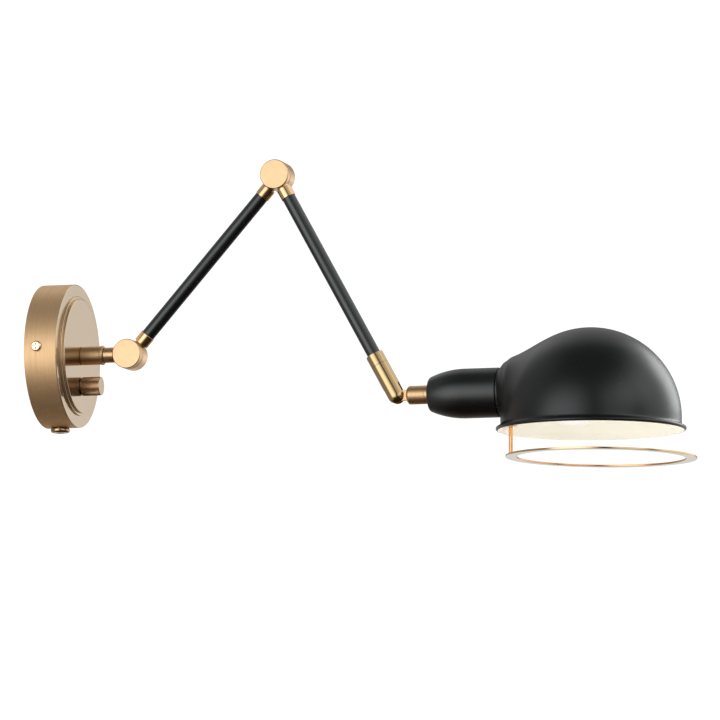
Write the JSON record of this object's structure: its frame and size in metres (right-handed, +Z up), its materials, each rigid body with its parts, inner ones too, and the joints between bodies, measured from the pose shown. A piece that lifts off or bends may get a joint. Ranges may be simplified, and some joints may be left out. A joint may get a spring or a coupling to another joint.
{
  "type": "articulating wall light",
  "caption": "Wall light with a round canopy, a swivelling stem, a folding two-part arm, a tilting domed shade with a trim ring, and a rotary dimmer.",
  "frame": {"origin": "centre of the canopy's back on the wall plane, between the two wall screw slots", "axes": "+X out of the wall along the stem, +Z up, Y along the wall; the arms fold in the XZ plane at rest"},
  "size_m": [0.554, 0.1562, 0.2574],
  "materials": {
    "brushed_brass": "brushed and lacquered satin brass",
    "bright_brass": "polished brass",
    "aged_brass": "darkened brass with fine brushing",
    "contact_brass": "plain rolled brass",
    "satin_black": "satin black powder coat",
    "shade_enamel": "satin black outside, warm white enamel inside",
    "zinc_steel": "zinc plated steel",
    "black_nylon": "black nylon",
    "lead_sheath": "black flexible sheath",
    "dimmer_plastic": "moulded dark blue plastic",
    "block_plastic": "moulded off-white plastic",
    "porcelain": "glazed white porcelain",
    "opal_glass": "opal white glass",
    "cap_metal": "rolled screw cap"
  },
  "bodies": {
    "base": {"wall_bracket": "zinc_steel", "ground_screw": "aged_brass", "terminal_block": "block_plastic", "canopy": "brushed_brass", "canopy_face": "brushed_brass", "side_screws": "bright_brass", "cord_bush": "aged_brass", "cord_bush_nut": "aged_brass", "dimmer_case": "dimmer_plastic", "dimmer_bush": "zinc_steel", "dimmer_nut": "zinc_steel", "stem_collar": "brushed_brass", "collar_nut": "zinc_steel"},
    "dimmer_knob": {"dimmer_shaft": "zinc_steel", "knob": "aged_brass", "knob_set_screw": "zinc_steel"},
    "stem": {"stem_neck": "brushed_brass", "stem_locknut": "zinc_steel", "swivel_washers": "black_nylon", "stem_lead": "lead_sheath", "shoulder_bush": "zinc_steel", "shoulder_washers": "black_nylon", "shoulder_nut": "zinc_steel"},
    "arm_1": {"shoulder_back": "brushed_brass", "shoulder_cap": "brushed_brass", "arm_1_ferrules": "brushed_brass", "arm_1_tube": "satin_black", "arm_1_lead": "lead_sheath", "elbow_back": "brushed_brass", "elbow_cap": "brushed_brass"},
    "arm_2": {"elbow_front": "brushed_brass", "elbow_bush": "zinc_steel", "elbow_washers": "black_nylon", "elbow_nut": "zinc_steel", "elbow_ferrule": "brushed_brass", "arm_2_tube": "satin_black", "arm_2_lead": "lead_sheath", "wrist_ferrule": "brushed_brass", "wrist_clevis": "brushed_brass", "wrist_screw": "zinc_steel", "wrist_washers": "black_nylon"},
    "head": {"head_neck": "brushed_brass", "socket_nipple": "zinc_steel", "nipple_nut": "zinc_steel", "head_lead": "lead_sheath", "socket_cover": "satin_black", "lampholder": "porcelain", "screw_shell": "contact_brass", "centre_contact": "contact_brass", "shade": "shade_enamel", "shade_ring_nut": "aged_brass", "ring_bracket": "aged_brass", "ring_post": "bright_brass", "post_nut": "zinc_steel", "trim_ring": "bright_brass", "bulb_glass": "opal_glass", "bulb_cap": "cap_metal"}
  },
  "joints": [
    {"name": "dimmer_turn", "type": "hinge", "parent": "base", "child": "dimmer_knob", "pos_m": [0.0315, 0, -0.0257], "axis": [-1, 0, 0], "range_deg": [0, 280]},
    {"name": "base_swivel", "type": "hinge", "parent": "base", "child": "stem", "pos_m": [0.051, 0, 0], "axis": [1, 0, 0], "range_deg": [-170, 170]},
    {"name": "shoulder", "type": "hinge", "parent": "stem", "child": "arm_1", "pos_m": [0.0724, 0, 0], "axis": [0, 1, 0], "range_deg": [-51.2, 148.8]},
    {"name": "elbow", "type": "hinge", "parent": "arm_1", "child": "arm_2", "pos_m": [0.20019, 0, 0.14597], "axis": [0, -1, 0], "range_deg": [-15, 235]},
    {"name": "wrist", "type": "hinge", "parent": "arm_2", "child": "head", "pos_m": [0.30328, 0, -0.04156], "axis": [0, 1, 0], "range_deg": [-28.8, 151.2]}
  ]
}
